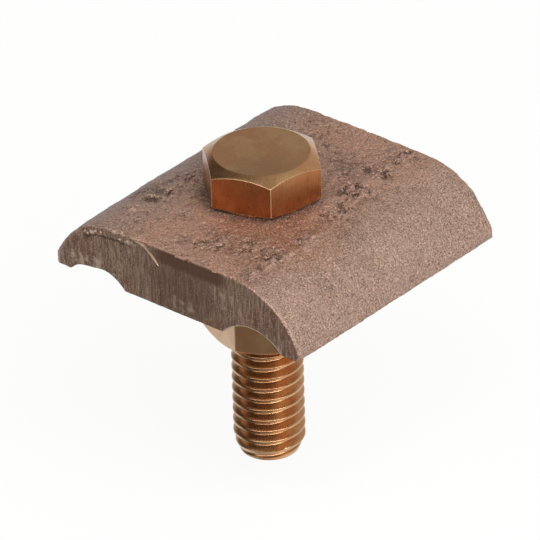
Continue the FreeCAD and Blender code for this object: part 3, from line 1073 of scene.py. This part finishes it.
def sawn_end(s):
    """Bronze cut by a saw: darker and more even than the skin, with fine upright lines and a painted
    highlight along a groove's rim.

    The saw's lines are finer than the picture can show, so they are drawn 0.17 mm apart.
    """
    material, tree, place = started_metal("sawn_bronze_end")
    scale = (1 / 0.17, 1 / 2, 1 / 1.6)
    upright = add(tree, "ShaderNodeMapping", {"Vector": place, "Scale": scale}).outputs[0]
    lines, wide, grain = (
        add(tree, "ShaderNodeTexNoise", {"Vector": at, "Scale": 1 / (size * MM), "Detail": detail}).outputs[0]
        for at, size, detail in ((upright, 1.0, 2.0), (place, 6.0, 1.0), (place, 0.25, 2.0)))
    smeared, burr = (add(tree, "ShaderNodeAttribute", attribute_name=name).outputs["Fac"]
                     for name in ("smeared", "burr"))
    middle = distance(tree, place, (1, 0, 1), (3, 0, 4))
    axis = [value / MM for value in (s.shift_x + s.groove_spacing / 2, 0, s.groove_depth - s.groove)]
    groove = distance(tree, place, (1, 0, 1), axis)
    along = add(tree, "ShaderNodeSeparateXYZ", {0: place}).outputs["Y"]
    end = s.shift_y - s.length / 2
    tone = coats(
        tree, s.sawn,
        (wide, 0.4, 0.6, 1.0, "#8B6755"),
        (lines, 0.5, 0.7, 0.7, "#BC9F8A"),
        (lines, 0.5, 0.3, 0.7, "#665040"),
        (grain, 0.55, 0.7, 0.6, "#CDBBA4"),
        (middle, 9 * MM, 3 * MM, 0.55, "#6F523F"),
        # The smooth band under the top edge painted dark: partly its own dark skin, partly painted shade
        (smeared, 0.1, 0.9, 0.85, "#684833"),
        (burr, 0.25, 0.8, 0.9, "#D9BCA6"),
        # The gap under the crumbs painted dark: painted shade
        (burr, -0.15, -0.6, 0.75, "#3E2D23"),
        (groove, s.groove + 0.16 * MM, s.groove + 0.08 * MM, 0.7, "#FFE9CF"),   # painted highlight along the rim of the right groove
        (along, end + 0.085 * MM, end + 0.04 * MM, 0.85, "#E2C6AE"))            # burrs that stand proud
    bump = add(tree, "ShaderNodeBump", {"Height": lines, "Distance": 0.05 * MM, "Strength": 0.5})
    finish_metal(tree, tone, 0.75, 0.45, bump.outputs["Normal"])
    return material


def satin_bronze(name, tone, roughness, streak):
    """Silicon bronze with a satin finish: warm gold brown with stains, flats more red (one of them a painted
    reflection), a painted shade on the front of the head's top, and pale worn corners whose paleness is
    partly a painted sheen.

    Its marks are a few hundredths of a millimetre wide. They are drawn 0.25 mm wide, so that they show.
    """
    material, tree, place = started_metal(name)
    bar = add(tree, "ShaderNodeMapping", {"Vector": place, "Scale": (1, 1, 0.25 * MM / streak)}).outputs[0]
    stain, marks = (
        add(tree, "ShaderNodeTexNoise", {"Vector": at, "Scale": 1 / (size * MM), "Detail": detail}).outputs[0]
        for at, size, detail in ((place, 3.2, 3.0), (bar, 0.25, 2.0)))
    rolled, rubbed = (add(tree, "ShaderNodeAttribute", attribute_name=kept).outputs["Fac"]
                      for kept in ("rolled", "rubbed"))
    tone = coats(tree, tone, (stain, 0.4, 0.7, 0.35, "#BE8252"), (rolled, 0.0, 1.0, 1.0, "#B67A50"))
    dark = {"Value": stain, "From Min": 0.62, "From Max": 0.45, "To Max": 0.4}
    dark = add(tree, "ShaderNodeMapRange", dark).outputs["Result"]
    tone = add(tree, "ShaderNodeMix", {0: dark, 6: tone, 7: linear("#C9855A")},
               data_type="RGBA", blend_type="MULTIPLY").outputs[2]
    # Painted shade on the front right of the head's top
    head_top_shade = distance(tree, place, (1, 1, 1), (3.6, -4.2, 14.5))
    # Pale corners: partly worn metal, partly a painted sheen
    tone = coats(tree, tone, (head_top_shade, 6 * MM, 2 * MM, 0.5, "#A5835F"), (rubbed, 0.0, 1.0, 1.0, "#E8CCA2"))
    satin = add(tree, "ShaderNodeMapRange", {"Value": marks, "From Min": 0.3, "From Max": 0.7,
                                             "To Min": roughness - 0.02, "To Max": roughness + 0.03})
    rough = {"Value": rubbed, "To Min": satin.outputs["Result"], "To Max": 0.55}
    rough = add(tree, "ShaderNodeMapRange", rough)
    bump = add(tree, "ShaderNodeBump", {"Height": marks, "Distance": 0.01 * MM, "Strength": 0.1})
    finish_metal(tree, tone, 1.0, rough.outputs["Result"], bump.outputs["Normal"])
    return material


# Stage


def direction(azimuth, height):
    """The way from the clamp to something at this angle round it and above the floor."""
    level = math.cos(height)
    return Vector((math.sin(azimuth) * level, -math.cos(azimuth) * level, math.sin(height)))


class CLAMP_OT_stage(bpy.types.Operator):
    """Set the floor, the lamps, the surroundings and the camera"""
    bl_idname = "ground_clamp.stage"
    bl_label = "Stage"

    def execute(self, context):
        s = context.scene.clamp_stage
        toward = direction(s.azimuth, s.elevation)
        right = Vector((math.cos(s.azimuth), math.sin(s.azimuth), 0))
        up = toward.cross(right)
        level = Vector((toward.x, toward.y, 0)).normalized()
        turned_right = math.cos(s.roll) * right + math.sin(s.roll) * up
        turned_up = math.cos(s.roll) * up - math.sin(s.roll) * right
        aim = turned_right * AIM[0] - turned_up * AIM[1] + Vector((0, 0, context.scene.clamp_casting.height))
        bpy.ops.object.camera_add()
        camera = context.object
        camera.name = "camera"
        axes = Matrix((turned_right, turned_up, toward)).transposed().to_4x4()
        camera.matrix_world = Matrix.Translation(aim + toward * s.distance) @ axes
        camera.data.sensor_width = 36
        camera.data.lens = s.lens
        camera.data.clip_start = 0.01
        camera.data.clip_end = 20
        context.scene.camera = camera
        # The floor lies low enough for the nut to leave the tip
        below = CAD_BOX[0].z - context.scene.clamp_fasteners.nut_height - 0.02 * MM
        bpy.ops.mesh.primitive_plane_add(size=3, location=(0, 0, below))
        floor = started("floor")
        floor.data.materials.append(paper(s))
        floor.visible_glossy = False
        for name, azimuth, height, away, size, power in LAMPS:
            way = direction(math.radians(azimuth), math.radians(height))
            bpy.ops.object.light_add(type="AREA", location=way * away)
            lamp = context.object
            lamp.name = name
            lamp.data.size = size
            lamp.data.energy = power
            lamp.rotation_euler = way.to_track_quat("Z", "Y").to_euler()
        surroundings(context.scene, level, right)
        context.scene.view_settings.view_transform = "Standard"
        return {"FINISHED"}


def paper(s):
    """Pale paper sweep: white to the camera, with the clamp's soft shadow kept, and clear from below."""
    material = bpy.data.materials.new("paper_sweep")
    tree = emptied(material)
    matt = add(tree, "ShaderNodeBsdfDiffuse", {"Color": s.floor}).outputs["BSDF"]
    white = add(tree, "ShaderNodeEmission", {"Color": WHITE, "Strength": 1.0}).outputs["Emission"]
    seen = add(tree, "ShaderNodeLightPath").outputs["Is Camera Ray"]
    share = add(tree, "ShaderNodeMath", {0: seen, 1: 0.9}, operation="MULTIPLY").outputs[0]
    face = add(tree, "ShaderNodeMixShader", {0: share, 1: matt, 2: white}).outputs["Shader"]
    clear = add(tree, "ShaderNodeBsdfTransparent").outputs["BSDF"]
    under = add(tree, "ShaderNodeNewGeometry").outputs["Backfacing"]
    both = add(tree, "ShaderNodeMixShader", {0: under, 1: face, 2: clear}).outputs["Shader"]
    add(tree, "ShaderNodeOutputMaterial", {"Surface": both})
    return material


def surroundings(scene, level, right):
    """Dark room on the left, soft wall on the right and a pale sweep low behind the clamp."""
    scene.world = bpy.data.worlds.new("studio")
    tree = emptied(scene.world)
    place = add(tree, "ShaderNodeTexCoord").outputs["Generated"]
    sideways, forward, height = (
        add(tree, "ShaderNodeVectorMath", {0: place, 1: tuple(way)}, operation="DOT_PRODUCT").outputs["Value"]
        for way in (right, level, (0, 0, 1)))
    lit_side, in_front, behind, low, on_table = (
        add(tree, "ShaderNodeMapRange", {"Value": way, "From Min": start, "From Max": full}).outputs["Result"]
        for way, start, full in ((sideways, -0.55, 0.35), (forward, 0.85, 0.76), (forward, 0.06, -0.18),
                                 (height, 0.38, 0.05), (height, -0.05, -0.3)))
    wall_share, sweep_share = (
        add(tree, "ShaderNodeMath", {0: first, 1: second}, operation="MULTIPLY").outputs[0]
        for first, second in ((lit_side, in_front), (behind, low)))
    seen = add(tree, "ShaderNodeLightPath").outputs["Is Camera Ray"]
    lit = add(tree, "ShaderNodeMix", {0: on_table, 6: WALL, 7: TABLE}, data_type="RGBA").outputs[2]
    shown = ROOM
    for share, light in ((wall_share, lit), (sweep_share, SWEEP), (seen, WHITE)):
        shown = add(tree, "ShaderNodeMix", {0: share, 6: shown, 7: light}, data_type="RGBA").outputs[2]
    light = add(tree, "ShaderNodeBackground", {"Color": shown, "Strength": 1.0}).outputs["Background"]
    add(tree, "ShaderNodeOutputWorld", {"Surface": light})


class CLAMP_PT_panel(bpy.types.Panel):
    """Sidebar panel with the clamp's pieces and sizes"""
    bl_idname = "CLAMP_PT_panel"
    bl_label = "Parallel ground clamp"
    bl_space_type = "VIEW_3D"
    bl_region_type = "UI"
    bl_category = "Ground clamp"

    def draw(self, context):
        column = self.layout.column()
        for operator in OPERATORS:
            column.operator(operator.bl_idname)
        scene = context.scene
        for settings in (scene.clamp_casting, scene.clamp_fasteners, scene.clamp_stage):
            box = self.layout.box()
            for name in settings.__annotations__:
                box.prop(settings, name)


OPERATORS = (CLAMP_OT_casting, CLAMP_OT_bolt, CLAMP_OT_lock_washer, CLAMP_OT_nut, CLAMP_OT_stage)
CLASSES = (CastingSettings, FastenerSettings, StageSettings, *OPERATORS, CLAMP_PT_panel)


def register():
    """Adds the clamp's operators, settings and panel."""
    for item in CLASSES:
        bpy.utils.register_class(item)
    bpy.types.Scene.clamp_casting = PointerProperty(type=CastingSettings)
    bpy.types.Scene.clamp_fasteners = PointerProperty(type=FastenerSettings)
    bpy.types.Scene.clamp_stage = PointerProperty(type=StageSettings)


def unregister():
    """Takes them out again."""
    del bpy.types.Scene.clamp_casting
    del bpy.types.Scene.clamp_fasteners
    del bpy.types.Scene.clamp_stage
    for item in reversed(CLASSES):
        bpy.utils.unregister_class(item)


def main():
    register()
    bpy.ops.ground_clamp.casting()
    bpy.ops.ground_clamp.bolt()
    bpy.ops.ground_clamp.lock_washer()
    bpy.ops.ground_clamp.nut()
    bpy.ops.ground_clamp.stage()
    bpy.context.view_layer.update()


if __name__ == "__main__":
    main()
